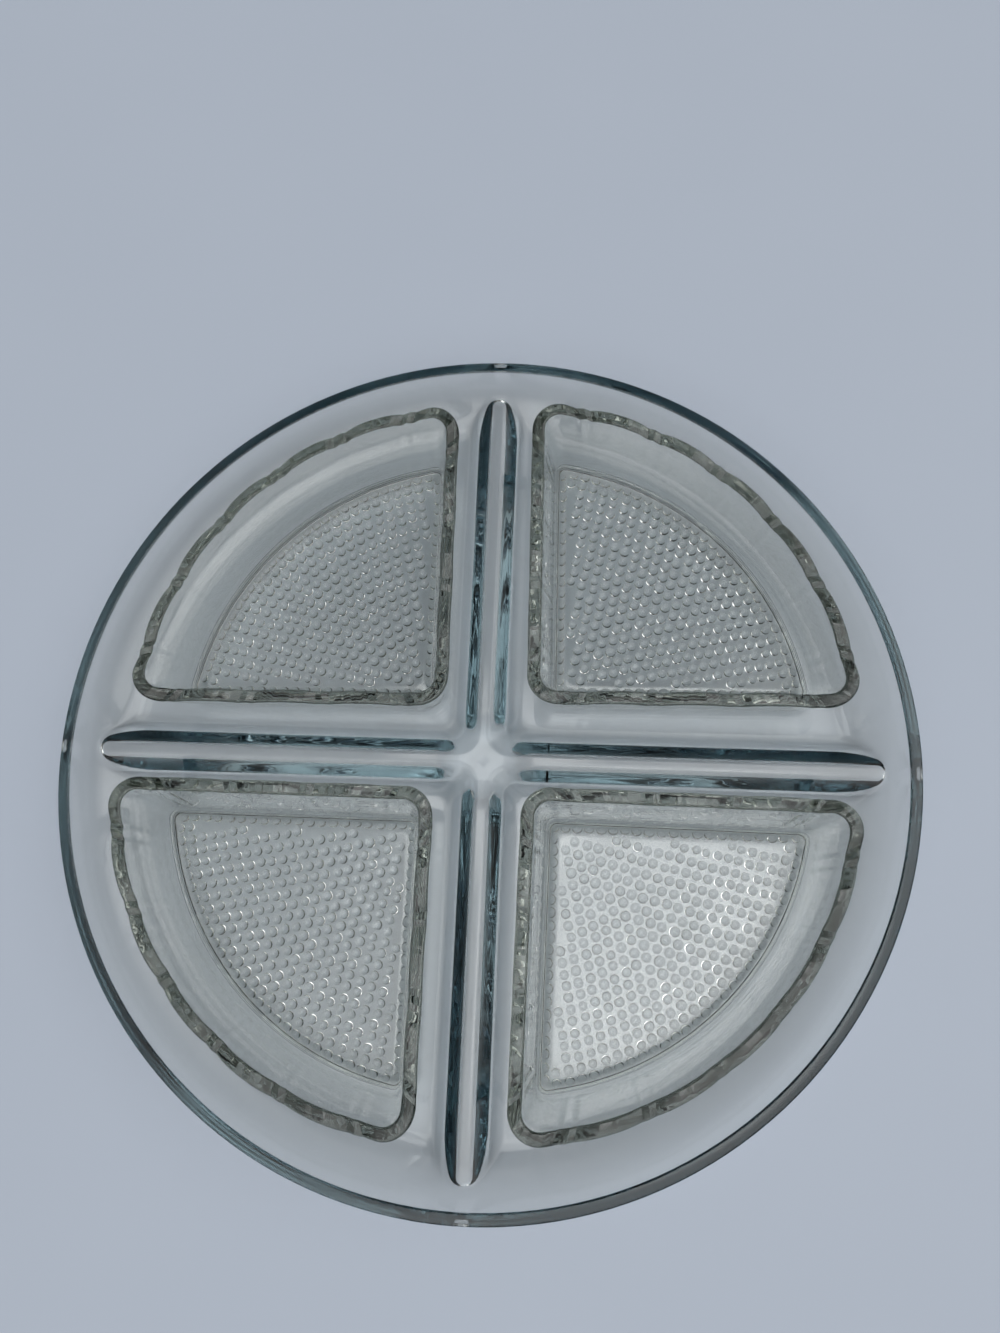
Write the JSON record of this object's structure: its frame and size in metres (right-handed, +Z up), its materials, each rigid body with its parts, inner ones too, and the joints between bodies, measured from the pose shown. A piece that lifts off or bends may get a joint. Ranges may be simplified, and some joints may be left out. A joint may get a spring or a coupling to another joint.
{
  "type": "divided serving dish",
  "caption": "Round pressed-glass serving tray with a raised cross that makes quarters, each holding a loose quarter-round dish with a scalloped rim and a bubbled floor.",
  "frame": {"origin": "middle of the tray's underside, on the table", "axes": "+Z up along the tray's axis, +X and +Y along the two arms of the cross, +Y towards the back (top of the picture)"},
  "size_m": [0.33, 0.33, 0.0433],
  "materials": {
    "tray_glass": "clear pressed glass with a faint teal tint at its edges, polished",
    "dish_glass": "clear pressed glass with a faint olive grey tint at its rims, polished"
  },
  "bodies": {
    "tray": {"tray": "tray_glass"},
    "dish_back_left": {"dish_back_left": "dish_glass"},
    "dish_back_right": {"dish_back_right": "dish_glass"},
    "dish_front_left": {"dish_front_left": "dish_glass"},
    "dish_front_right": {"dish_front_right": "dish_glass"}
  },
  "joints": [
    {"name": "lift_back_left", "type": "slide", "parent": "tray", "child": "dish_back_left", "axis": [0, 0, 1], "range_m": [0, 0.06]},
    {"name": "lift_back_right", "type": "slide", "parent": "tray", "child": "dish_back_right", "axis": [0, 0, 1], "range_m": [0, 0.06]},
    {"name": "lift_front_left", "type": "slide", "parent": "tray", "child": "dish_front_left", "axis": [0, 0, 1], "range_m": [0, 0.06]},
    {"name": "lift_front_right", "type": "slide", "parent": "tray", "child": "dish_front_right", "axis": [0, 0, 1], "range_m": [0, 0.06]}
  ]
}
